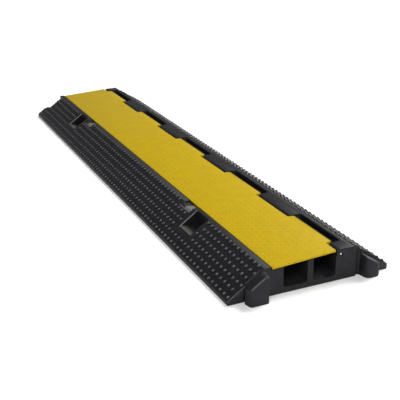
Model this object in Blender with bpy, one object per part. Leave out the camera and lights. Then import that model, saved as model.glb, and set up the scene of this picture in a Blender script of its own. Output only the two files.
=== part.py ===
# Floor cord cover: a two-channel rubber cable ramp with a hinged lid.
# Metres, +Z up. X runs along the ramp, with the male lugs at +X. The lid hinges along the +Y side.
import math

import bmesh
import bpy
from mathutils import Matrix, Vector

# Moulding
LENGTH = 1.000               # ramp without its lugs
HALF_WIDTH = 0.125
NEAR_TOE = 0.0063            # upright edge below the -Y slope
FAR_TOE = 0.0083
NEAR_CREST = (-0.0718, 0.0423)   # top of the -Y slope
FAR_CREST = (0.0665, 0.0467)     # top of the +Y slope
FLOOR = 0.0085               # thickness under the channels
CHANNELS = ((-0.0422, -0.0056), (0.0035, 0.0387))
CHANNEL_FILLET = 0.003

# Lid
LID_NEAR = (-0.0594, 0.0413)     # upper near edge
LID_FAR = (0.0380, 0.0467)       # upper edge at the foot of the tabs
LID_THICK = 0.0030
LID_CHAMFER = 0.0012
LID_END_GAP = 0.0003
PAD_DEPTH = 0.0026           # thickening that dips into each channel
PAD_SIDE_GAP = 0.0025
PAD_END_INSET = 0.012

# Hinge
ROD_Y = 0.0468
ROD_Z = 0.0387
ROD_RADIUS = 0.0025
ROD_SHORT = 0.0010           # each end sits this far inside the moulding
BARREL_RADIUS = 0.0078
TONGUE_RADIUS = 0.0082
TROUGH_WALL = 0.0605
TROUGH_FLOOR = 0.0295
PITCH = 0.2135               # tongue to tongue
TONGUES = 4                  # between the two end ones
TONGUE_TIP = 0.0465          # half widths
TONGUE_ROOT = 0.0495
NOTCH_INNER = 0.0500
NOTCH_OUTER = 0.0520
NOTCH_FILLET = 0.0012        # kept small, so the corners pass the tongues as the lid opens
END_TAB = 0.4720             # outer end of the last tab
END_TROUGH = 0.4765
CLEAR = 0.0003

# Pockets and finger notches, mirrored about the middle of the length. Each plan lists its corners.
POCKET_PLAN = ((0.2835, -0.0680), (0.2850, -0.1005), (0.3230, -0.1005), (0.3230, -0.0680))
POCKET_FLOOR = ((-0.0680, 0.0205), (-0.1005, 0.0233))    # (y, z) at the back and the front
FINGER_PLAN = ((0.2345, -0.0534), (0.2410, -0.0790), (0.2740, -0.0790), (0.2675, -0.0534))
FINGER_FLOOR = ((-0.0534, 0.0366), (-0.0750, 0.0402))

# Connectors: reach, inner root, inner and outer front corners, as distances from the middle line
NEAR_LUG = {"reach": 0.0172, "root": 0.0712, "inner": 0.0720, "outer": 0.1000, "rise": 0.0015}
FAR_LUG = {"reach": 0.0140, "root": 0.0705, "inner": 0.0820, "outer": 0.1025, "rise": -0.0040}
HOOK_START = 0.0048
HOOK_FLARE = 0.0025
HOOK_DEPTH = 0.0050
LUG_CAP = 0.0393
SOCKET_CLEAR = 0.0008
SOCKET_LIP = ((0.1065, 0.0155), (0.0960, 0.0090))    # top of the hook's catch in a socket, (distance, z)

ABOVE = 0.080                # cutters run up past everything
BELOW = -0.010
BODY_X = -NEAR_LUG["reach"] / 2      # puts the origin under the middle of the whole outline

SECTION_TURN = Matrix(((0, 0, 1, 0), (1, 0, 0, 0), (0, 1, 0, 0), (0, 0, 0, 1)))


def clear_scene():
    for old in list(bpy.data.objects):
        bpy.data.objects.remove(old, do_unlink=True)


def new_collection(name):
    collection = bpy.data.collections.new(name)
    bpy.context.scene.collection.children.link(collection)
    return collection


def make_material(name, color, roughness, metallic=0.0):
    material = bpy.data.materials.new(name)
    material.use_nodes = True
    shader = material.node_tree.nodes["Principled BSDF"]
    shader.inputs["Base Color"].default_value = (*color, 1.0)
    shader.inputs["Roughness"].default_value = roughness
    shader.inputs["Metallic"].default_value = metallic
    return material


def rounded(corners, steps=4):
    """Outline through the corners, each (a, b) sharp or (a, b, radius) as an arc."""
    points = []
    for index, corner in enumerate(corners):
        here = Vector(corner[:2])
        if len(corner) == 2:
            points.append(here)
            continue
        back = (Vector(corners[index - 1][:2]) - here).normalized()
        ahead = (Vector(corners[(index + 1) % len(corners)][:2]) - here).normalized()
        half = back.angle(ahead) / 2
        centre = here + (back + ahead).normalized() * corner[2] / math.sin(half)
        start = here + back * corner[2] / math.tan(half) - centre
        end = here + ahead * corner[2] / math.tan(half) - centre
        turn = start.angle_signed(end)
        for step in range(steps + 1):
            angle = -turn * step / steps
            points.append(centre + Matrix.Rotation(angle, 2) @ start)
    return [tuple(point) for point in points]


def prism(name, outline, low, high, along, collection):
    """Closed solid: a (y, z) outline swept along X, or an (x, y) outline swept along Z."""
    curve = bpy.data.curves.new(name, "CURVE")
    curve.dimensions = "2D"
    curve.fill_mode = "BOTH"
    curve.extrude = (high - low) / 2
    spline = curve.splines.new("POLY")
    spline.points.add(len(outline) - 1)
    for point, (a, b) in zip(spline.points, outline):
        point.co = (a, b, 0, 1)
    spline.use_cyclic_u = True
    flat = bpy.data.objects.new(name, curve)
    collection.objects.link(flat)
    middle = (low + high) / 2
    if along == "X":
        flat.matrix_world = Matrix.Translation((BODY_X + middle, 0, 0)) @ SECTION_TURN
    else:
        flat.matrix_world = Matrix.Translation((BODY_X, 0, middle))
    bpy.context.view_layer.update()
    evaluated = flat.evaluated_get(bpy.context.evaluated_depsgraph_get())
    mesh = bpy.data.meshes.new_from_object(evaluated)
    welded = bmesh.new()
    welded.from_mesh(mesh)
    bmesh.ops.remove_doubles(welded, verts=welded.verts, dist=0.000001)
    bmesh.ops.recalc_face_normals(welded, faces=welded.faces)
    welded.to_mesh(mesh)
    welded.free()
    result = bpy.data.objects.new(name, mesh)
    collection.objects.link(result)
    result.matrix_world = flat.matrix_world
    bpy.data.objects.remove(flat, do_unlink=True)
    result.name = name
    return result


def rod_along_x(name, radius, length, collection, sides=24):
    bpy.ops.mesh.primitive_cylinder_add(vertices=sides, radius=radius, depth=length)
    rod = bpy.context.object
    rod.name = name
    rod.matrix_world = Matrix.Translation((BODY_X, ROD_Y, ROD_Z)) @ Matrix.Rotation(math.pi / 2, 4, "Y")
    for holder in list(rod.users_collection):
        holder.objects.unlink(rod)
    collection.objects.link(rod)
    rod.data.shade_smooth()
    rod.data.set_sharp_from_angle(angle=math.radians(40))
    return rod


def as_cutter(tool):
    tool.hide_render = True
    tool.display_type = "WIRE"
    return tool


def combine(target, tool, operation="DIFFERENCE"):
    modifier = target.modifiers.new(tool.name, "BOOLEAN")
    modifier.operation = operation
    modifier.solver = "EXACT"
    modifier.object = as_cutter(tool)


def lid_height(y, drop=0.0):
    """Height of the lid's upper face, less a drop, at y."""
    share = (y - LID_NEAR[0]) / (LID_FAR[0] - LID_NEAR[0])
    return LID_NEAR[1] + share * (LID_FAR[1] - LID_NEAR[1]) - drop


def near_slope(y):
    share = (y + HALF_WIDTH) / (NEAR_CREST[0] + HALF_WIDTH)
    return NEAR_TOE + share * (NEAR_CREST[1] - NEAR_TOE)


def far_slope(y):
    share = (HALF_WIDTH - y) / (HALF_WIDTH - FAR_CREST[0])
    return FAR_TOE + share * (FAR_CREST[1] - FAR_TOE)


def base_section():
    """Cross-section of the moulding, channels open at the top, round the tongue's nose."""
    seat = LID_THICK + CLEAR
    rebate = LID_NEAR[0] - 2 * CLEAR
    (left_1, right_1), (left_2, right_2) = CHANNELS
    corners = [
        (-HALF_WIDTH, 0.0), (HALF_WIDTH, 0.0), (HALF_WIDTH, FAR_TOE, 0.002),
        (*FAR_CREST, 0.003),
    ]
    nose = []
    for degrees in (103, 115, 127, 139, 151, 163):
        angle = math.radians(degrees)
        nose.append((ROD_Y + TONGUE_RADIUS * math.cos(angle), ROD_Z + TONGUE_RADIUS * math.sin(angle)))
    corners += nose
    corners += [
        (right_2, ROD_Z), (right_2, FLOOR, CHANNEL_FILLET), (left_2, FLOOR, CHANNEL_FILLET),
        (left_2, lid_height(left_2, seat)), (right_1, lid_height(right_1, seat)),
        (right_1, FLOOR, CHANNEL_FILLET), (left_1, FLOOR, CHANNEL_FILLET),
        (left_1, lid_height(left_1, seat)), (rebate, lid_height(rebate, seat)),
        (rebate, NEAR_CREST[1]), (*NEAR_CREST, 0.004), (-HALF_WIDTH, NEAR_TOE, 0.002),
    ]
    return rounded(corners)


def tongue_centres():
    return [PITCH * (index - (TONGUES - 1) / 2) for index in range(TONGUES)]


def trough_outline(low, high, low_open, high_open):
    """Plan of one hinge trough, between two tongues or a tongue and an end tongue."""
    mouth = CHANNELS[1][1]
    lean = TONGUE_ROOT - TONGUE_TIP
    ear = 0.006
    round_tip, round_root = 0.005, 0.003
    low_lean = lean if low_open else lean / 2
    high_lean = lean if high_open else lean / 2
    return rounded([
        (low - ear, mouth - 0.002), (high + ear, mouth - 0.002), (high + ear, mouth),
        (high, mouth, round_tip), (high - high_lean, TROUGH_WALL, round_root),
        (low + low_lean, TROUGH_WALL, round_root), (low, mouth, round_tip), (low - ear, mouth),
    ])


def hinge_troughs(collection):
    centres = tongue_centres()
    lows = [-END_TROUGH] + [centre + TONGUE_TIP for centre in centres]
    highs = [centre - TONGUE_TIP for centre in centres] + [END_TROUGH]
    troughs = []
    for index, (low, high) in enumerate(zip(lows, highs)):
        outline = trough_outline(low, high, index > 0, index < TONGUES)
        troughs.append(prism(f"trough_{index + 1}", outline, TROUGH_FLOOR, ABOVE, "Z", collection))
    return troughs


def lid_notches(collection):
    """Plans of the gaps that let the moulding's tongues into the lid's far edge."""
    past = ROD_Y + 0.020
    inner = LID_FAR[0]
    notches = []
    for index, centre in enumerate(tongue_centres()):
        outline = rounded([
            (centre - NOTCH_INNER, inner, NOTCH_FILLET), (centre + NOTCH_INNER, inner, NOTCH_FILLET),
            (centre + NOTCH_OUTER, ROD_Y + 0.003), (centre + NOTCH_OUTER, past),
            (centre - NOTCH_OUTER, past), (centre - NOTCH_OUTER, ROD_Y + 0.003),
        ])
        notches.append(prism(f"lid_notch_{index + 1}", outline, 0.0, ABOVE, "Z", collection))
    for side, name in ((-1, "lid_end_notch_a"), (1, "lid_end_notch_b")):
        corners = [
            (side * (END_TAB + 0.002), inner, NOTCH_FILLET), (side * (LENGTH / 2 + 0.01), inner),
            (side * (LENGTH / 2 + 0.01), past), (side * END_TAB, past), (side * END_TAB, ROD_Y),
        ]
        notches.append(prism(name, rounded(corners), 0.0, ABOVE, "Z", collection))
    return notches


def lug_plan(lug, side, grow=0.0):
    """Plan of a hooked lug that stands out from the end face at x = 0, on the -Y or +Y side."""
    corners = [
        (-0.004, lug["root"] - grow), (0.0, lug["root"] - grow),
        (lug["reach"] + grow, lug["inner"] - grow, 0.0015),
        (lug["reach"] + grow, lug["outer"] + grow, 0.0025),
        (HOOK_START - grow, lug["outer"] + HOOK_FLARE + grow, 0.001),
        (HOOK_START - grow, lug["outer"] + HOOK_FLARE - HOOK_DEPTH + grow),
        (-0.004, lug["outer"] + HOOK_FLARE - HOOK_DEPTH + grow),
    ]
    return [(x, side * y) for x, y in rounded(corners)]


def lug_top(lug, side):
    """Outline of what lies above a lug: it follows the slope, under a flat cap."""
    slope = near_slope if side < 0 else far_slope
    far_out = HALF_WIDTH * side
    crossing = far_out
    while slope(crossing) + lug["rise"] < LUG_CAP:
        crossing -= side * 0.0005
    return [
        (0.0, ABOVE), (0.0, LUG_CAP), (crossing, LUG_CAP),
        (far_out, slope(far_out) + lug["rise"]), (far_out + side * 0.01, slope(far_out) + lug["rise"]),
        (far_out + side * 0.01, ABOVE),
    ]


def scoop(name, plan, floor, side, collection):
    """Cutter with upright sides on a plan, over a floor that slants from its back to its front."""
    hollow = prism(name, [(side * x, y) for x, y in plan], 0.0, ABOVE, "Z", collection)
    (back_y, back_z), (front_y, front_z) = floor
    lean = (front_z - back_z) / (front_y - back_y)
    past = 0.01
    under = [
        (back_y + past, back_z + lean * past), (front_y - past, front_z - lean * past),
        (front_y - past, BELOW), (back_y + past, BELOW),
    ]
    low, high = sorted(side * x for x in (plan[0][0] - past, plan[2][0] + past))
    combine(hollow, prism(f"{name}_floor", under, low, high, "X", collection))
    return hollow


def make_base(parts, cutters):
    end = LENGTH / 2
    base = prism("ramp_base", base_section(), -end, end, "X", parts)
    for trough in hinge_troughs(cutters):
        combine(base, trough)
    for lug, side, name in ((NEAR_LUG, -1, "near"), (FAR_LUG, 1, "far")):
        plan = [(end + x, y) for x, y in lug_plan(lug, side)]
        lug_solid = prism(f"{name}_lug", plan, 0.0, ABOVE, "Z", cutters)
        combine(lug_solid, prism(f"{name}_lug_top", lug_top(lug, side), end - 0.01, end + 0.03, "X", cutters))
        combine(base, lug_solid, "UNION")
        mouth = [(-end + x, y) for x, y in lug_plan(lug, side, SOCKET_CLEAR)]
        combine(base, prism(f"{name}_socket", mouth, BELOW, ABOVE, "Z", cutters))
        (lip_out, lip_top), (lip_in, lip_low) = SOCKET_LIP
        lip = [
            (side * lip_out, lip_top), (side * lip_in, lip_low),
            (side * lip_in, ABOVE), (side * lip_out, ABOVE),
        ]
        combine(base, prism(f"{name}_socket_lip", lip, -end - 0.01, -end + HOOK_START, "X", cutters))
    for side, name in ((-1, "a"), (1, "b")):
        combine(base, scoop(f"pocket_{name}", POCKET_PLAN, POCKET_FLOOR, side, cutters))
        combine(base, scoop(f"finger_notch_{name}", FINGER_PLAN, FINGER_FLOOR, side, cutters))
    combine(base, rod_along_x("rod_hole", ROD_RADIUS + CLEAR, LENGTH + 0.02, cutters))
    return base


def lid_section():
    """Plate that rises to the hinge and rolls into the barrel round the rod."""
    inner = LID_FAR[0]
    barrel = []
    for degrees in range(75, -196, -15):
        angle = math.radians(degrees)
        barrel.append((ROD_Y + BARREL_RADIUS * math.cos(angle), ROD_Z + BARREL_RADIUS * math.sin(angle)))
    top = ROD_Z + BARREL_RADIUS
    neck = (inner + 0.001, lid_height(inner, LID_THICK))
    return rounded([
        (LID_NEAR[0], lid_height(LID_NEAR[0], LID_THICK)), (*LID_NEAR, 0.0006),
        (inner - LID_CHAMFER, lid_height(inner - LID_CHAMFER)), (ROD_Y - 0.002, top),
    ] + barrel + [neck])


def make_lid(parts, cutters):
    end = LENGTH / 2 - LID_END_GAP
    lid = prism("lid", lid_section(), -end, end, "X", parts)
    for index, (left, right) in enumerate(CHANNELS):
        low, high = left + PAD_SIDE_GAP, min(right, LID_FAR[0]) - PAD_SIDE_GAP
        sink = LID_THICK + PAD_DEPTH
        outline = [
            (low, lid_height(low, LID_THICK - 0.001)), (low + 0.001, lid_height(low + 0.001, sink)),
            (high - 0.001, lid_height(high - 0.001, sink)), (high, lid_height(high, LID_THICK - 0.001)),
        ]
        pad = prism(f"lid_pad_{index + 1}", outline, -end + PAD_END_INSET, end - PAD_END_INSET, "X", cutters)
        combine(lid, pad, "UNION")
    for notch in lid_notches(cutters):
        combine(lid, notch)
    combine(lid, rod_along_x("lid_bore", ROD_RADIUS + CLEAR, LENGTH + 0.02, cutters))
    hinge = Matrix.Translation((BODY_X, ROD_Y, ROD_Z))
    lid.data.transform(hinge.inverted() @ lid.matrix_world)
    lid.matrix_world = hinge
    return lid


def main():
    clear_scene()
    parts = new_collection("floor_cord_cover")
    cutters = new_collection("cutters")
    base = make_base(parts, cutters)
    lid = make_lid(parts, cutters)
    rod = rod_along_x("hinge_rod", ROD_RADIUS, LENGTH - 2 * ROD_SHORT, parts)
    base.data.materials.append(make_material("black rubber", (0.028, 0.028, 0.030), 0.72))
    lid.data.materials.append(make_material("yellow rubber", (0.62, 0.43, 0.025), 0.55))
    rod.data.materials.append(make_material("steel rod", (0.60, 0.60, 0.61), 0.35, 1.0))


main()
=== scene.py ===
# Floor cord cover: the looks of the moulding, the lid and the rod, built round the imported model.
import math

import bpy
from mathutils import Matrix, Vector


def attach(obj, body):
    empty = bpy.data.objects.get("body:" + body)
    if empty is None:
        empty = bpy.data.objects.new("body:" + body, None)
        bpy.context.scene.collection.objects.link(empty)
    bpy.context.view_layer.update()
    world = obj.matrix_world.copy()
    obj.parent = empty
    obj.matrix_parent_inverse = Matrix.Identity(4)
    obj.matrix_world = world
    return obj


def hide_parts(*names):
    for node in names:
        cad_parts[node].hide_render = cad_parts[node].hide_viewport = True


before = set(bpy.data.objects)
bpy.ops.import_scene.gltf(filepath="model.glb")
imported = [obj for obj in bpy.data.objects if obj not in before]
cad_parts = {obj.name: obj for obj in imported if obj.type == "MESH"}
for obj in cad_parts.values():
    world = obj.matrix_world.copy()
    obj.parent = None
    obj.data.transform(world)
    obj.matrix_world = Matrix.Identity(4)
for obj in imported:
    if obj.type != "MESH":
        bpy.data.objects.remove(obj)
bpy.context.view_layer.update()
print("frame loaded, nodes:", len(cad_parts))


# small helpers for working by hand in code

weld = {"reach": 0.00001, "flat": 0.5, "speck": 0.0003}
squareOn = 0.9       # how far a normal lies along an axis for its face to count as an end


def deselectAll():
    if bpy.context.mode != "OBJECT":
        bpy.ops.object.mode_set(mode="OBJECT")
    for chosen in list(bpy.context.selected_objects):
        chosen.select_set(False)


def pick(piece):
    deselectAll()
    piece.select_set(True)
    bpy.context.view_layer.objects.active = piece


def applyPlace(piece):
    pick(piece)
    bpy.ops.object.transform_apply(location=True, rotation=True, scale=True)


def applyModifier(piece, kind, **settings):
    pick(piece)
    modifier = piece.modifiers.new(kind.title(), kind)
    for key, value in settings.items():
        setattr(modifier, key, value)
    bpy.ops.object.modifier_apply(modifier=modifier.name)


def softenEdges(piece, size):
    applyModifier(piece, "BEVEL", width=size["edgeRound"], segments=2, limit_method="ANGLE",
                  angle_limit=math.radians(size["sharpFrom"]), use_clamp_overlap=False)


def smoothFaces(piece, size):
    pick(piece)
    bpy.ops.object.shade_smooth_by_angle(angle=math.radians(size["smoothTo"]))


def selectFaces(piece, wanted):
    bpy.ops.object.mode_set(mode="OBJECT")
    for vertex in piece.data.vertices:
        vertex.select = False
    for edge in piece.data.edges:
        edge.select = False
    for face in piece.data.polygons:
        face.select = wanted(face)
    bpy.ops.object.mode_set(mode="EDIT")
    bpy.ops.mesh.select_mode(type="FACE")


def roundEdges(piece, wanted, width, segments=4):
    # wanted gets the two ends of each edge
    selectFaces(piece, lambda face: False)
    bpy.ops.mesh.select_mode(type="EDGE")
    bpy.ops.object.mode_set(mode="OBJECT")
    for edge in piece.data.edges:
        edge.select = wanted(*(piece.data.vertices[index].co for index in edge.vertices))
    bpy.ops.object.mode_set(mode="EDIT")
    bpy.ops.mesh.bevel(offset=width, segments=segments, affect="EDGES", clamp_overlap=False)
    bpy.ops.object.mode_set(mode="OBJECT")


def copyOfNode(nodeName, pieceName):
    # the node's triangles are loose, so the copy is welded and its flat faces joined
    copied = bpy.data.objects.new(pieceName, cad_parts[nodeName].data.copy())
    bpy.context.scene.collection.objects.link(copied)
    copied.data.materials.clear()
    pick(copied)
    bpy.ops.mesh.customdata_custom_splitnormals_clear()
    bpy.ops.object.mode_set(mode="EDIT")
    bpy.ops.mesh.select_all(action="SELECT")
    bpy.ops.mesh.remove_doubles(threshold=weld["reach"])
    bpy.ops.mesh.dissolve_limited(angle_limit=math.radians(weld["flat"]))
    bpy.ops.mesh.select_all(action="SELECT")
    bpy.ops.mesh.dissolve_degenerate(threshold=weld["speck"])
    bpy.ops.object.mode_set(mode="OBJECT")
    return copied


def joinInto(piece, parts):
    deselectAll()
    for part in parts:
        part.select_set(True)
    piece.select_set(True)
    bpy.context.view_layer.objects.active = piece
    bpy.ops.object.join()


def modelDot(name, size):
    # a low round dot: a short drum whose top is drawn up and in
    (level, width), *upperRings = size["rings"]
    drumTop = level * size["height"]
    bpy.ops.mesh.primitive_cylinder_add(
        vertices=size["sides"], radius=size["radius"], depth=size["sink"] + drumTop,
        location=(0, 0, (drumTop - size["sink"]) / 2))
    dot = bpy.context.object
    dot.name = name
    applyPlace(dot)
    selectFaces(dot, lambda face: face.normal.z > squareOn)
    bpy.ops.transform.resize(value=(width, width, 1))
    for nextLevel, nextWidth in upperRings:
        bpy.ops.mesh.extrude_region_move(
            TRANSFORM_OT_translate={"value": (0, 0, (nextLevel - level) * size["height"])})
        bpy.ops.transform.resize(value=(nextWidth / width, nextWidth / width, 1))
        level, width = nextLevel, nextWidth
    bpy.ops.object.mode_set(mode="OBJECT")
    return dot


def scatterDots(dot, places):
    # every copy has its own mesh, already standing in its place
    copies = []
    for matrix in places:
        copied = bpy.data.objects.new(dot.name, dot.data.copy())
        copied.data.transform(matrix)
        bpy.context.scene.collection.objects.link(copied)
        copies.append(copied)
    return copies


# shader nodes

def addNode(tree, kind, **settings):
    node = tree.nodes.new(kind)
    for key, value in settings.items():
        setattr(node, key, value)
    return node


def feed(tree, socket, value):
    # a socket takes a number, a colour or what another node gives
    if isinstance(value, tuple):
        socket.default_value = (*value, 1.0)
    elif isinstance(value, (int, float)):
        socket.default_value = value
    else:
        tree.links.new(value, socket)


def objectPlace(tree):
    return addNode(tree, "ShaderNodeTexCoord").outputs["Object"]


def faceNormal(tree):
    return addNode(tree, "ShaderNodeNewGeometry").outputs["Normal"]


def splitNode(tree, vector):
    split = addNode(tree, "ShaderNodeSeparateXYZ")
    tree.links.new(vector, split.inputs[0])
    return split.outputs


def noiseNode(tree, scale, detail=4.0, roughness=0.55, vector=None):
    noise = addNode(tree, "ShaderNodeTexNoise")
    feed(tree, noise.inputs["Scale"], scale)
    noise.inputs["Detail"].default_value = detail
    noise.inputs["Roughness"].default_value = roughness
    tree.links.new(vector or objectPlace(tree), noise.inputs["Vector"])
    return noise.outputs["Fac"]


def stretchedNoise(tree, stretch):
    # streaks along the ramp
    mapping = addNode(tree, "ShaderNodeMapping")
    mapping.inputs["Scale"].default_value = stretch
    tree.links.new(objectPlace(tree), mapping.inputs["Vector"])
    return noiseNode(tree, 1.0, 3.0, 0.6, mapping.outputs["Vector"])


def mathNode(tree, operation, first, second=0.0):
    node = addNode(tree, "ShaderNodeMath", operation=operation)
    for socket, value in zip(node.inputs, (first, second)):
        feed(tree, socket, value)
    return node.outputs[0]


def distanceNode(tree, value, place):
    return mathNode(tree, "ABSOLUTE", mathNode(tree, "SUBTRACT", value, place))


def rangeNode(tree, value, low, high, toLow=0.0, toHigh=1.0):
    node = addNode(tree, "ShaderNodeMapRange")
    tree.links.new(value, node.inputs["Value"])
    for label, number in (("From Min", low), ("From Max", high),
                          ("To Min", toLow), ("To Max", toHigh)):
        feed(tree, node.inputs[label], number)
    return node.outputs["Result"]


def bandNode(tree, value, low, high, soft=0.0004):
    return mathNode(tree, "MINIMUM", rangeNode(tree, value, low - soft, low),
                    rangeNode(tree, value, high + soft, high))


def mixNode(tree, mask, first, second):
    node = addNode(tree, "ShaderNodeMix", data_type="RGBA")
    for index, value in ((0, mask), (6, first), (7, second)):
        feed(tree, node.inputs[index], value)
    return node.outputs[2]


def allOf(tree, *masks):
    mask = masks[0]
    for other in masks[1:]:
        mask = mathNode(tree, "MULTIPLY", mask, other)
    return mask


def anyOf(tree, *masks):
    mask = masks[0]
    for other in masks[1:]:
        mask = mathNode(tree, "MAXIMUM", mask, other)
    return mask


# shader groups that more than one finish uses

grainNoise = {"fineDetail": 2.0, "waveDetail": 3.0, "tone": (0.35, 0.65)}
dustFall = {"facing": (0.35, 1.0), "detail": 8.0, "roughness": 0.65, "patches": (0.42, 0.72)}


def newGroup(name, inputs, outputs):
    group = bpy.data.node_groups.new(name, "ShaderNodeTree")
    for label, value in inputs:
        socket = group.interface.new_socket(label, in_out="INPUT", socket_type="NodeSocketFloat")
        socket.default_value = value
    for label in outputs:
        group.interface.new_socket(label, in_out="OUTPUT", socket_type="NodeSocketFloat")
    return group, group.nodes.new("NodeGroupInput"), group.nodes.new("NodeGroupOutput")


def makeGrainGroup():
    # the fine pebble that a mould leaves, and the slower waviness under it
    group, groupIn, groupOut = newGroup(
        "mouldGrain", [("Fine Scale", 1500.0), ("Wave Scale", 120.0), ("Wave Share", 0.3)],
        ["Height", "Tone"])
    fine = noiseNode(group, groupIn.outputs["Fine Scale"], grainNoise["fineDetail"])
    wave = noiseNode(group, groupIn.outputs["Wave Scale"], grainNoise["waveDetail"])
    waveHeight = mathNode(group, "MULTIPLY", wave, groupIn.outputs["Wave Share"])
    group.links.new(mathNode(group, "ADD", fine, waveHeight), groupOut.inputs["Height"])
    group.links.new(rangeNode(group, wave, *grainNoise["tone"]), groupOut.inputs["Tone"])
    return group


def makeDustGroup():
    # dust that settles on what faces up
    group, groupIn, groupOut = newGroup(
        "settledDust", [("Amount", 0.3), ("Patch Scale", 22.0)], ["Mask"])
    facingUp = rangeNode(group, splitNode(group, faceNormal(group))["Z"], *dustFall["facing"])
    patchNoise = noiseNode(group, groupIn.outputs["Patch Scale"], dustFall["detail"],
                           dustFall["roughness"])
    patches = rangeNode(group, patchNoise, *dustFall["patches"])
    dusty = allOf(group, facingUp, patches, groupIn.outputs["Amount"])
    group.links.new(dusty, groupOut.inputs["Mask"])
    return group


grainGroup, dustGroup = makeGrainGroup(), makeDustGroup()


def useGroup(tree, group, values):
    node = addNode(tree, "ShaderNodeGroup", node_tree=group)
    for label, value in values.items():
        node.inputs[label].default_value = value
    return node.outputs


# what every finish does

noiseMiddle = (0.3, 0.7)     # most of a noise's values lie between these


def newFinish(name):
    material = bpy.data.materials.new(name)
    material.use_nodes = True
    return material, material.node_tree, material.node_tree.nodes["Principled BSDF"]


def unevenGloss(tree, look):
    return rangeNode(tree, noiseNode(tree, look["glossScale"], 5.0), *noiseMiddle, *look["gloss"])


def addBump(tree, shader, height, look):
    bump = addNode(tree, "ShaderNodeBump")
    bump.inputs["Distance"].default_value = look["bumpDepth"]
    bump.inputs["Strength"].default_value = look["bumpStrength"]
    tree.links.new(height, bump.inputs["Height"])
    tree.links.new(bump.outputs["Normal"], shader.inputs["Normal"])


# black rubber

rubberLook = {
    "deep": (0.0045, 0.0045, 0.0060), "faded": (0.0082, 0.0082, 0.0103),
    # the near black below is painted shade; the grey beside it is scuffs and painted highlights
    "black": (0.0012, 0.0012, 0.0016), "scuffAndHighlight": (0.1050, 0.1050, 0.1120),
    # the light grey below is painted light
    "paintedLight": (0.2300, 0.2260, 0.2080), "dust": (0.0900, 0.0860, 0.0800),
    "grain": {"Fine Scale": 1300.0, "Wave Scale": 90.0, "Wave Share": 0.35},
    "settled": {"Amount": 0.02, "Patch Scale": 24.0},
    "patchScale": 260.0, "patchNoise": (0.36, 0.64), "patchShare": (0.55, 1.0),
    "gloss": (0.46, 0.60), "glossScale": 420.0, "scuffAndHighlightGloss": 0.34, "paintedShadeGloss": 0.95,
    "bumpDepth": 0.00020, "bumpStrength": 0.30, "specular": 0.26,
}
# where and how strongly the scuffs, painted highlights, painted light and painted shade lie
wearAndLightShare = {"farStuds": 0.75, "endEdge": 0.80, "lugRidge": 0.45, "lugTop": 0.85,
             "farStudHighlight": 0.60, "pocketEdge": 1.0, "pocketLip": 0.33, "notchFloor": 0.70}
# x is from the ramp's middle, above and below are from the slopes' planes, a face is its normal;
# from and to, the y of a pocket or notch and the two seams are bands, and any other pair of
# numbers runs from where a scuff, painted light or painted shade starts to where it is full
wearLightAndShadePlaces = {
    "studs": {"above": (0.0009, 0.0021), "end": 0.0010, "fullFrom": 0.1,
              "farSlope": (0.0665, 0.0680)},
    "endEdge": {"inside": 0.0010, "outside": 0.0005, "above": (-0.0013, -0.0007),
                "y": (-0.0980, -0.1020)},
    "lugs": {"out": (0.0005, 0.0020), "ridgeFaceX": (0.25, 0.60), "ridgeFaceZ": (0.20, 0.50),
             "ridgeY": (0.0, -0.01), "topFaceZ": (0.45, 0.80), "topY": (0.0710, 0.0740)},
    "pocket": {"from": 0.2835, "to": 0.3230, "y": (-0.0999, -0.0680),
               "slant": 0.047, "slantedFrom": 0.2803,
               "edge": (0.0011, 0.0006), "edgeAbove": (-0.0014, -0.0008),
               "lip": (-0.0870, -0.0960), "lipFaceZ": (0.5, 0.8), "lipBelow": (-0.0003, -0.0010),
               "depths": (-0.0015, -0.0040)},
    "notch": {"from": 0.2360, "to": 0.2730, "y": (-0.0790, -0.0612), "top": (0.0407, 0.0403),
              "faceZ": (0.7, 0.9), "corner": (0.0145, 0.0185), "cornerFront": (-0.0772, -0.0788)},
    "seams": {"lid": (-0.0622, -0.0590), "tongue": (0.0375, 0.0397), "z": (0.0370, 0.0375)},
    "hollows": {"y": (0.0668, 0.0690), "below": (0.0010, 0.0005), "above": (-0.0010, -0.0006)},
}


def slopeLine(tree, y, side):
    # height of one slope's plane at y, running down to its toe
    rise = slopeRise(side)
    return mathNode(tree, "ADD", mathNode(tree, "MULTIPLY", y, -outward[side] * rise),
                    moulding[side]["toe"] + moulding["halfWidth"] * rise)


def placeOnRamp(tree):
    # where a point is, which way it faces and how far it stands above the slopes' planes
    x, y, z = splitNode(tree, objectPlace(tree))
    facing = splitNode(tree, faceNormal(tree))
    slopes = mathNode(tree, "MINIMUM", slopeLine(tree, y, "near"), slopeLine(tree, y, "far"))
    along = mathNode(tree, "SUBTRACT", x, moulding["middle"])
    return {"x": along, "y": y, "z": z, "above": mathNode(tree, "SUBTRACT", z, slopes),
            "fromMiddle": distanceNode(tree, along, 0.0),
            "faceX": facing["X"], "faceZ": facing["Z"]}


def studWearAndHighlight(tree, at):
    # the studs' tops are a scuffed grey that also paints their highlights, a little less towards
    # the far end
    studs, end = wearLightAndShadePlaces["studs"], moulding["halfLength"]
    return allOf(tree, rangeNode(tree, at["above"], *studs["above"]),
                 rangeNode(tree, at["x"], end, end - studs["end"]),
                 rangeNode(tree, at["x"], -end, studs["fullFrom"], wearAndLightShare["farStuds"], 1.0))


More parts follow.
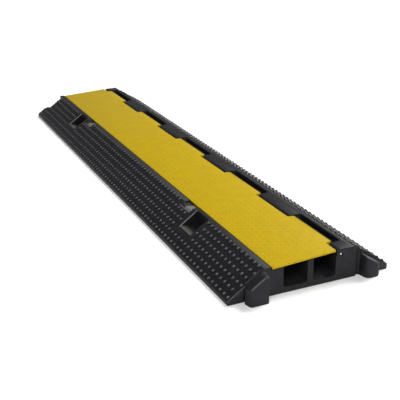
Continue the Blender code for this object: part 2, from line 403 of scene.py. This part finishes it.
def endHighlight(tree, at):
    # painted highlights and sheen on the near slope's end edge, the near lug's front ridge and the
    # far lug's top
    endEdge, onLugs, end = wearLightAndShadePlaces["endEdge"], wearLightAndShadePlaces["lugs"], moulding["halfLength"]
    edge = allOf(tree, bandNode(tree, at["x"], end - endEdge["inside"], end + endEdge["outside"]),
                 rangeNode(tree, at["above"], *endEdge["above"]),
                 rangeNode(tree, at["y"], *endEdge["y"], 0.0, wearAndLightShare["endEdge"]))
    ridge = allOf(tree, rangeNode(tree, at["faceX"], *onLugs["ridgeFaceX"]),
                  rangeNode(tree, at["faceZ"], *onLugs["ridgeFaceZ"]),
                  rangeNode(tree, at["y"], *onLugs["ridgeY"], 0.0, wearAndLightShare["lugRidge"]))
    top = allOf(tree, rangeNode(tree, at["faceZ"], *onLugs["topFaceZ"]),
                rangeNode(tree, at["y"], *onLugs["topY"], 0.0, wearAndLightShare["lugTop"]))
    pastEnd = rangeNode(tree, at["x"], *(end + out for out in onLugs["out"]))
    return anyOf(tree, edge, allOf(tree, anyOf(tree, ridge, top), pastEnd))


def pocketHighlight(tree, at):
    # a painted highlight along one edge of each pocket, and painted light on its front lip
    pocket = wearLightAndShadePlaces["pocket"]
    inRow = bandNode(tree, at["y"], *pocket["y"])
    slanted = mathNode(tree, "ADD", at["x"], mathNode(tree, "MULTIPLY", at["y"], pocket["slant"]))
    fromEdge = mathNode(tree, "MINIMUM", distanceNode(tree, slanted, pocket["slantedFrom"]),
                        distanceNode(tree, at["x"], -pocket["to"]))
    edge = allOf(tree, inRow, rangeNode(tree, fromEdge, *pocket["edge"]),
                 rangeNode(tree, at["above"], *pocket["edgeAbove"], 0.0, wearAndLightShare["pocketEdge"]))
    lip = allOf(tree, inRow, bandNode(tree, at["fromMiddle"], pocket["from"], pocket["to"]),
                rangeNode(tree, at["y"], *pocket["lip"]),
                rangeNode(tree, at["faceZ"], *pocket["lipFaceZ"]),
                rangeNode(tree, at["above"], *pocket["lipBelow"], 0.0, wearAndLightShare["pocketLip"]))
    return anyOf(tree, edge, lip)


def notchLight(tree, at):
    # painted light on the floor of each notch, all but its corner on the socket end's side
    notch = wearLightAndShadePlaces["notch"]
    floor = allOf(tree, bandNode(tree, at["fromMiddle"], notch["from"], notch["to"]),
                  bandNode(tree, at["y"], *notch["y"]), rangeNode(tree, at["z"], *notch["top"]),
                  rangeNode(tree, at["faceZ"], *notch["faceZ"], 0.0, wearAndLightShare["notchFloor"]))
    fromCorner = mathNode(tree, "MINIMUM", distanceNode(tree, at["x"], notch["from"]),
                          distanceNode(tree, at["x"], -notch["to"]))
    outOfCorner = anyOf(tree, rangeNode(tree, fromCorner, *notch["corner"]),
                        rangeNode(tree, at["y"], *notch["cornerFront"]))
    return allOf(tree, floor, outOfCorner)


def paintedShadeMask(tree, at):
    # painted shade: near black in the pockets' depths, in the seams beside the lid and between the
    # far studs
    pocket, seams, hollows = (wearLightAndShadePlaces[place] for place in ("pocket", "seams", "hollows"))
    depths = allOf(tree, bandNode(tree, at["y"], *pocket["y"]),
                   rangeNode(tree, at["above"], *pocket["depths"]),
                   bandNode(tree, at["fromMiddle"], pocket["from"], pocket["to"]))
    besideLid = anyOf(tree, bandNode(tree, at["y"], *seams["lid"]),
                      bandNode(tree, at["y"], *seams["tongue"]))
    seam = allOf(tree, besideLid, rangeNode(tree, at["z"], *seams["z"]))
    betweenStuds = allOf(tree, rangeNode(tree, at["y"], *hollows["y"]),
                         rangeNode(tree, at["above"], *hollows["below"]),
                         rangeNode(tree, at["above"], *hollows["above"]))
    return anyOf(tree, depths, seam, betweenStuds)


def makeRubber(look):
    material, tree, shader = newFinish("blackRubber")
    grain = useGroup(tree, grainGroup, look["grain"])
    dust = useGroup(tree, dustGroup, look["settled"])
    at = placeOnRamp(tree)
    patches = rangeNode(tree, noiseNode(tree, look["patchScale"]),
                        *look["patchNoise"], *look["patchShare"])
    # scuffs and painted highlights on the studs' tops, and painted highlights at the ends, in one
    # grey
    studTops = studWearAndHighlight(tree, at)
    wearAndHighlight = allOf(tree, anyOf(tree, studTops, endHighlight(tree, at)), patches)
    # painted highlights on the far slope's stud tops, gathered with the pockets' and notches'
    # painted light
    farStudHighlight = allOf(tree, studTops, rangeNode(tree, at["y"], *wearLightAndShadePlaces["studs"]["farSlope"],
                                              0.0, wearAndLightShare["farStudHighlight"]))
    paintedLight = allOf(tree, anyOf(tree, pocketHighlight(tree, at), notchLight(tree, at), farStudHighlight), patches)
    # painted shade, laid on in near black
    paintedShade = paintedShadeMask(tree, at)
    color = mixNode(tree, grain["Tone"], look["deep"], look["faded"])
    for mask, tone in ((dust["Mask"], "dust"), (paintedShade, "black"), (wearAndHighlight, "scuffAndHighlight"), (paintedLight, "paintedLight")):
        color = mixNode(tree, mask, color, look[tone])
    tree.links.new(color, shader.inputs["Base Color"])
    gloss = rangeNode(tree, paintedShade, 0.0, 1.0, unevenGloss(tree, look), look["paintedShadeGloss"])
    gloss = rangeNode(tree, anyOf(tree, wearAndHighlight, paintedLight), 0.0, 1.0, gloss, look["scuffAndHighlightGloss"])
    tree.links.new(gloss, shader.inputs["Roughness"])
    shader.inputs["Specular IOR Level"].default_value = look["specular"]
    addBump(tree, shader, grain["Height"], look)
    return material


# yellow lid

lidLook = {
    # the dust colour below also paints the shade towards the far end
    "bright": (0.436, 0.300, 0.005), "dull": (0.412, 0.282, 0.006), "dust": (0.270, 0.220, 0.070),
    "grain": {"Fine Scale": 1700.0, "Wave Scale": 60.0, "Wave Share": 0.25},
    "settled": {"Amount": 0.05, "Patch Scale": 16.0},
    "scuffStretch": (14.0, 420.0, 420.0), "scuffNoise": (0.60, 0.78), "scuffShare": 0.22,
    # painted shade towards the far end
    "paintedFarShadeX": (-0.05, -0.50), "paintedFarShade": 0.15,
    # near black painted shade on the hinge tabs
    "paintedTabShade": (0.010, 0.009, 0.006), "paintedTabShadeY": (0.0468, 0.0484),
    "gloss": (0.42, 0.56), "glossScale": 300.0,
    "bumpDepth": 0.00012, "bumpStrength": 0.22, "specular": 0.05,
}


def makeLidFinish(look):
    material, tree, shader = newFinish("yellowPlastic")
    grain = useGroup(tree, grainGroup, look["grain"])
    dust = useGroup(tree, dustGroup, look["settled"])
    scuffs = rangeNode(tree, stretchedNoise(tree, look["scuffStretch"]), *look["scuffNoise"],
                       0.0, look["scuffShare"])
    place = splitNode(tree, objectPlace(tree))
    # painted shade: the lid turns a little darker and duller towards the far end
    paintedFarShade = rangeNode(tree, place["X"], *look["paintedFarShadeX"], 0.0, look["paintedFarShade"])
    color = mixNode(tree, grain["Tone"], look["bright"], look["dull"])
    for mask in (scuffs, dust["Mask"], paintedFarShade):
        color = mixNode(tree, mask, color, look["dust"])
    # painted shade: the hinge tabs past the rod's middle are painted near black
    color = mixNode(tree, rangeNode(tree, place["Y"], *look["paintedTabShadeY"]), color, look["paintedTabShade"])
    tree.links.new(color, shader.inputs["Base Color"])
    tree.links.new(unevenGloss(tree, look), shader.inputs["Roughness"])
    shader.inputs["Specular IOR Level"].default_value = look["specular"]
    addBump(tree, shader, grain["Height"], look)
    return material


# steel rod

rodLook = {
    # the last colour below, near black, is painted shade
    "clean": (0.62, 0.62, 0.63), "stained": (0.30, 0.28, 0.26), "paintedRodShade": (0.045, 0.042, 0.040),
    "drawStretch": (30.0, 1500.0, 1500.0), "stainScale": 90.0, "stainDetail": 6.0,
    "stainNoise": (0.52, 0.75), "stainShare": 0.7, "spot": (0.0009, 0.0016),
    "gloss": (0.34, 0.50), "bumpDepth": 0.00005, "bumpStrength": 0.4,
}
rodSize = {"radius": 0.0025, "length": 0.998, "y": 0.0468, "z": 0.0387, "sides": 32,
           "chamfer": 0.0008, "smoothTo": 30.0}


def makeSteel(look):
    material, tree, shader = newFinish("drawnSteel")
    lines = stretchedNoise(tree, look["drawStretch"])
    stains = rangeNode(tree, noiseNode(tree, look["stainScale"], look["stainDetail"]),
                       *look["stainNoise"], 0.0, look["stainShare"])
    color = mixNode(tree, stains, look["clean"], look["stained"])
    # painted shade: the rod is near black, but for a bright spot at the middle of each cut end
    place = splitNode(tree, objectPlace(tree))
    across = mathNode(tree, "SUBTRACT", place["Y"], rodSize["y"])
    upward = mathNode(tree, "SUBTRACT", place["Z"], rodSize["z"])
    squares = mathNode(tree, "ADD", mathNode(tree, "MULTIPLY", across, across),
                       mathNode(tree, "MULTIPLY", upward, upward))
    fromAxis = mathNode(tree, "SQRT", squares)
    color = mixNode(tree, rangeNode(tree, fromAxis, *look["spot"]), color, look["paintedRodShade"])
    tree.links.new(color, shader.inputs["Base Color"])
    tree.links.new(rangeNode(tree, lines, *noiseMiddle, *look["gloss"]), shader.inputs["Roughness"])
    shader.inputs["Metallic"].default_value = 1.0
    addBump(tree, shader, lines, look)
    return material


print("finishes made")


# the moulding: welded copy with softened edges, rounded lugs and studs

moulding = {
    "middle": -0.0086, "halfLength": 0.500, "halfWidth": 0.125,
    "edgeRound": 0.0007, "sharpFrom": 28.0, "smoothTo": 38.0,
    "lipLine": (-0.0600, 0.0423), "lipRound": 0.0022,
    "groove": {"y": 0.0752, "out": 0.0006, "radius": 0.0038, "top": 0.0462, "depth": 0.0800,
               "sides": 20},
    "near": {"crest": (-0.0718, 0.0423), "toe": 0.0063,
             "rows": (0.0731, 0.0827, 0.0921, 0.1019, 0.1114, 0.1210)},
    "far": {"crest": (0.0665, 0.0467), "toe": 0.0083,
            "rows": (0.0716, 0.0812, 0.0908, 0.1004, 0.1100, 0.1196)},
}
endFace = moulding["middle"] + moulding["halfLength"]
outward = {"near": -1, "far": 1}     # along y
studSize = {"radius": 0.0026, "height": 0.0020, "sink": 0.0004, "sides": 10,
            "rings": ((0.15, 0.92), (0.62, 0.80), (0.90, 0.56), (1.0, 0.30))}
studGrid = {"pitch": 0.0120, "firstOdd": 0.4945, "firstEven": 0.4885, "last": -0.4965,
            "clear": 0.0034}
studGaps = {      # x from the ramp's middle, then y, of what the studs stop at
    "near": [((0.2805, 0.3250), (-0.1035, -0.0660)), ((-0.3250, -0.2805), (-0.1035, -0.0660)),
             ((0.2360, 0.2730), (-0.0775, -0.0590)), ((-0.2730, -0.2360), (-0.0775, -0.0590)),
             ((-0.5010, -0.4820), (-0.1040, -0.0700))],
    "far": [((-0.5010, -0.4850), (0.0695, 0.1060))],
}


def slopeRise(side):
    crestY, crestZ = moulding[side]["crest"]
    return (crestZ - moulding[side]["toe"]) / (moulding["halfWidth"] - abs(crestY))


def isBlocked(x, y, side):
    margin = studGrid["clear"]
    return any(low - margin < x < high + margin and near - margin < y < far + margin
               for (low, high), (near, far) in studGaps[side])


def studPlaces(side):
    slope, rise = moulding[side], slopeRise(side)
    tilt = Matrix.Rotation(-outward[side] * math.atan(rise), 4, "X")
    places = []
    for index, distance in enumerate(slope["rows"]):
        x = studGrid["firstOdd"] if index % 2 else studGrid["firstEven"]
        y = outward[side] * distance
        z = slope["toe"] + (moulding["halfWidth"] - distance) * rise
        while x > studGrid["last"]:
            if not isBlocked(x, y, side):
                places.append(Matrix.Translation((moulding["middle"] + x, y, z)) @ tilt)
            x -= studGrid["pitch"]
    return places


lugs = {
    "near": {"reach": 0.0172, "root": 0.0712, "inner": 0.0720, "outer": 0.1000, "rise": 0.0015,
             "round": 0.0034},
    "far": {"reach": 0.0140, "root": 0.0792, "inner": 0.0820, "outer": 0.1025, "rise": -0.0040,
            "round": 0.0048},
    "hook": 0.0048, "flare": 0.0025, "depth": 0.0050, "cap": 0.0393, "buried": 0.0010,
    "blank": 0.0600, "margin": 0.001, "cutPast": 0.0002,
}


def modelLug(side):
    # a hooked block cut to the slope's lean, its outer edges well rounded as a mould leaves them
    lug, slope = lugs[side], moulding[side]
    catch = lug["outer"] + lugs["flare"]
    plan = [(-lugs["buried"], lug["root"]), (0.0, lug["root"]), (lug["reach"], lug["inner"]),
            (lug["reach"], lug["outer"]), (lugs["hook"], catch),
            (lugs["hook"], catch - lugs["depth"]), (-lugs["buried"], catch - lugs["depth"])]
    bpy.ops.mesh.primitive_circle_add(vertices=len(plan), fill_type="NGON")
    block = bpy.context.object
    block.name = side + "Lug"
    for vertex, (x, distance) in zip(block.data.vertices, plan):
        vertex.co = (endFace + x, outward[side] * distance, 0)
    bpy.ops.object.mode_set(mode="EDIT")
    bpy.ops.mesh.select_all(action="SELECT")
    bpy.ops.mesh.extrude_region_move(TRANSFORM_OT_translate={"value": (0, 0, lugs["blank"])})
    leanFrom = (0, outward[side] * moulding["halfWidth"], slope["toe"] + lug["rise"])
    lean = (0, outward[side] * slopeRise(side), 1)
    for point, normal in ((leanFrom, lean), ((0, 0, lugs["cap"]), (0, 0, 1))):
        bpy.ops.mesh.select_all(action="SELECT")
        bpy.ops.mesh.bisect(plane_co=point, plane_no=normal, use_fill=True, clear_outer=True)
    bpy.ops.mesh.select_all(action="SELECT")
    bpy.ops.mesh.normals_make_consistent(inside=False)
    bpy.ops.object.mode_set(mode="OBJECT")
    roundEdges(block, lambda one, other:
               max(one.x, other.x) > endFace + lugs["hook"] + lugs["margin"]
               and max(one.z, other.z) > lugs["margin"], lug["round"])
    return block


def cutLugs(piece):
    # the copy's own sharp lugs are cut off at the end face, to make room for the rounded ones
    pick(piece)
    bpy.ops.object.mode_set(mode="EDIT")
    bpy.ops.mesh.select_all(action="SELECT")
    bpy.ops.mesh.bisect(plane_co=(endFace + lugs["cutPast"], 0, 0), plane_no=(1, 0, 0),
                        use_fill=True, clear_outer=True)
    bpy.ops.object.mode_set(mode="OBJECT")


def cutGroove(piece):
    # the upright groove in the end face beside the far lug
    groove = moulding["groove"]
    bpy.ops.mesh.primitive_cylinder_add(
        vertices=groove["sides"], radius=groove["radius"], depth=groove["depth"],
        location=(endFace + groove["out"], groove["y"], groove["top"] - groove["depth"] / 2))
    cutter = bpy.context.object
    applyModifier(piece, "BOOLEAN", operation="DIFFERENCE", solver="EXACT", object=cutter)
    bpy.data.objects.remove(cutter)


def onLipLine(point, reach=0.0002):
    lineY, lineZ = moulding["lipLine"]
    return abs(point.y - lineY) < reach and abs(point.z - lineZ) < reach


rampMoulding = copyOfNode("ramp_base", "rampMoulding")
cutGroove(rampMoulding)
roundEdges(rampMoulding, lambda one, other: onLipLine(one) and onLipLine(other),
           moulding["lipRound"])
softenEdges(rampMoulding, moulding)
cutLugs(rampMoulding)
joinInto(rampMoulding, [modelLug("near"), modelLug("far")])
print("moulding softened, faces:", len(rampMoulding.data.polygons))

stud = modelDot("stud", studSize)
studCopies = scatterDots(stud, studPlaces("near") + studPlaces("far"))
bpy.data.objects.remove(stud)
joinInto(rampMoulding, studCopies)
rampMoulding.data.materials.append(makeRubber(rubberLook))
smoothFaces(rampMoulding, moulding)
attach(rampMoulding, "ramp")
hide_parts("ramp_base")
print("studs set:", len(studCopies))


# the lid: welded copy with softened edges, and its faint dots

lidSize = {"edgeRound": 0.0005, "sharpFrom": 30.0, "smoothTo": 35.0,
           "nearEdge": (-0.0594, 0.0413), "farEdge": (0.0380, 0.0467), "halfLength": 0.4997,
           "inset": 0.0060, "rowStep": 0.0096, "pitch": 0.0120, "headroom": 0.95}
lidDot = {"radius": 0.0022, "height": 0.00035, "sink": 0.0002, "sides": 12,
          "rings": ((0.25, 0.96), (0.75, 0.74), (1.0, 0.42))}


def lidDotPlaces():
    (nearY, nearZ), (farY, farZ) = lidSize["nearEdge"], lidSize["farEdge"]
    rise = (farZ - nearZ) / (farY - nearY)
    lean = Matrix.Rotation(math.atan(rise), 4, "X")
    places = []
    y, row = nearY + lidSize["inset"], 0
    while y < farY - lidSize["inset"]:
        x = lidSize["halfLength"] - lidSize["inset"] - (lidSize["pitch"] / 2 if row % 2 else 0.0)
        while x > -lidSize["halfLength"] + lidSize["inset"]:
            z = nearZ + (y - nearY) * rise
            # nothing stands above the tongues
            height = min(1.0, (farZ - z) * lidSize["headroom"] / lidDot["height"])
            places.append(Matrix.Translation((moulding["middle"] + x, y, z)) @ lean
                          @ Matrix.Diagonal((1.0, 1.0, height, 1.0)))
            x -= lidSize["pitch"]
        y += lidSize["rowStep"]
        row += 1
    return places


lidPlate = copyOfNode("lid", "lidPlate")
softenEdges(lidPlate, lidSize)
dot = modelDot("dot", lidDot)
dotCopies = scatterDots(dot, lidDotPlaces())
bpy.data.objects.remove(dot)
joinInto(lidPlate, dotCopies)
lidPlate.data.materials.append(makeLidFinish(lidLook))
smoothFaces(lidPlate, lidSize)
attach(lidPlate, "lid")
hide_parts("lid")
print("lid made, dots:", len(dotCopies))


# the rod, with its cut ends chamfered

def modelRod():
    bpy.ops.mesh.primitive_cylinder_add(
        vertices=rodSize["sides"], radius=rodSize["radius"], depth=rodSize["length"],
        location=(moulding["middle"], rodSize["y"], rodSize["z"]), rotation=(0, math.pi / 2, 0))
    rod = bpy.context.object
    rod.name = "steelRod"
    applyPlace(rod)
    selectFaces(rod, lambda face: abs(face.normal.x) > squareOn)
    bpy.ops.mesh.bevel(offset=rodSize["chamfer"], segments=2, affect="EDGES")
    bpy.ops.object.mode_set(mode="OBJECT")
    smoothFaces(rod, rodSize)
    return rod


steelRod = modelRod()
steelRod.data.materials.append(makeSteel(rodLook))
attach(steelRod, "ramp")
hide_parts("hinge_rod")
print("rod made")


# floor, light and camera

studio = {
    "floor": {"size": 14.0, "color": (0.90, 0.90, 0.90), "roughness": 0.9, "specular": 0.1},
    "key": {"from": (-0.30, 0.70, 0.80), "spread": 34.0, "strength": 3.5},
    "fill": {"from": (1.00, 0.10, 0.45), "spread": 60.0, "strength": 0.35},
    "front": {"from": (0.50, -0.39, 0.74), "spread": 26.0, "strength": 1.00},
    "softBox": {"place": (2.20, -0.55, 1.70), "aim": (0.45, 0.0, 0.0), "size": 1.3,
                "power": 22.0},
    "sky": 0.20,
}
# the camera that was fitted to the photo; focal and picture are in pixels
shot = {"place": (1.3117, -0.5301, 0.5137), "azimuth": 65.833, "elevation": 21.787,
        "roll": -0.688, "focal": 805.73, "picture": 400, "sensor": 36.0}


def addFloor(look):
    bpy.ops.mesh.primitive_plane_add(size=look["size"])
    floor = bpy.context.object
    floor.name = "floor"
    material, tree, shader = newFinish("paleFloor")
    for label, key in (("Base Color", "color"), ("Roughness", "roughness"),
                       ("Specular IOR Level", "specular")):
        feed(tree, shader.inputs[label], look[key])
    floor.data.materials.append(material)


def addLamp(name, kind, direction, **settings):
    light = bpy.data.lights.new(name, kind)
    for key, value in settings.items():
        setattr(light, key, value)
    lamp = bpy.data.objects.new(name, light)
    bpy.context.scene.collection.objects.link(lamp)
    lamp.rotation_euler = direction.to_track_quat("-Z", "Y").to_euler()
    return lamp


def addSoftLight(name, setting):
    # a wide sun lights the whole floor alike
    addLamp(name, "SUN", -Vector(setting["from"]), angle=math.radians(setting["spread"]),
            energy=setting["strength"])


def addSoftBox(setting):
    # a soft box at the lug end, so that the far end falls off a little as in the photo
    place = Vector(setting["place"])
    lamp = addLamp("softBox", "AREA", Vector(setting["aim"]) - place, size=setting["size"],
                   energy=setting["power"])
    lamp.location = place


def addSky(strength):
    world = bpy.data.worlds.new("softSky")
    world.use_nodes = True
    background = world.node_tree.nodes["Background"]
    background.inputs["Color"].default_value = (1, 1, 1, 1)
    background.inputs["Strength"].default_value = strength
    bpy.context.scene.world = world
    bpy.context.scene.view_settings.view_transform = "Standard"


def addCamera():
    turn, lift, roll = (math.radians(shot[key]) for key in ("azimuth", "elevation", "roll"))
    back = Vector((math.sin(turn) * math.cos(lift), -math.cos(turn) * math.cos(lift),
                   math.sin(lift)))
    right = Vector((math.cos(turn), math.sin(turn), 0))
    up = back.cross(right)
    rolledRight = math.cos(roll) * right + math.sin(roll) * up
    rolledUp = -math.sin(roll) * right + math.cos(roll) * up
    lens = bpy.data.cameras.new("camera")
    lens.sensor_width = shot["sensor"]
    lens.lens = shot["sensor"] * shot["focal"] / shot["picture"]
    camera = bpy.data.objects.new("camera", lens)
    bpy.context.scene.collection.objects.link(camera)
    camera.matrix_world = (Matrix.Translation(shot["place"])
                           @ Matrix((rolledRight, rolledUp, back)).transposed().to_4x4())
    bpy.context.scene.camera = camera


deselectAll()
addFloor(studio["floor"])
addSoftLight("keyLight", studio["key"])
addSoftLight("fillLight", studio["fill"])
addSoftLight("frontLight", studio["front"])
addSoftBox(studio["softBox"])
addSky(studio["sky"])
addCamera()
print("studio ready")
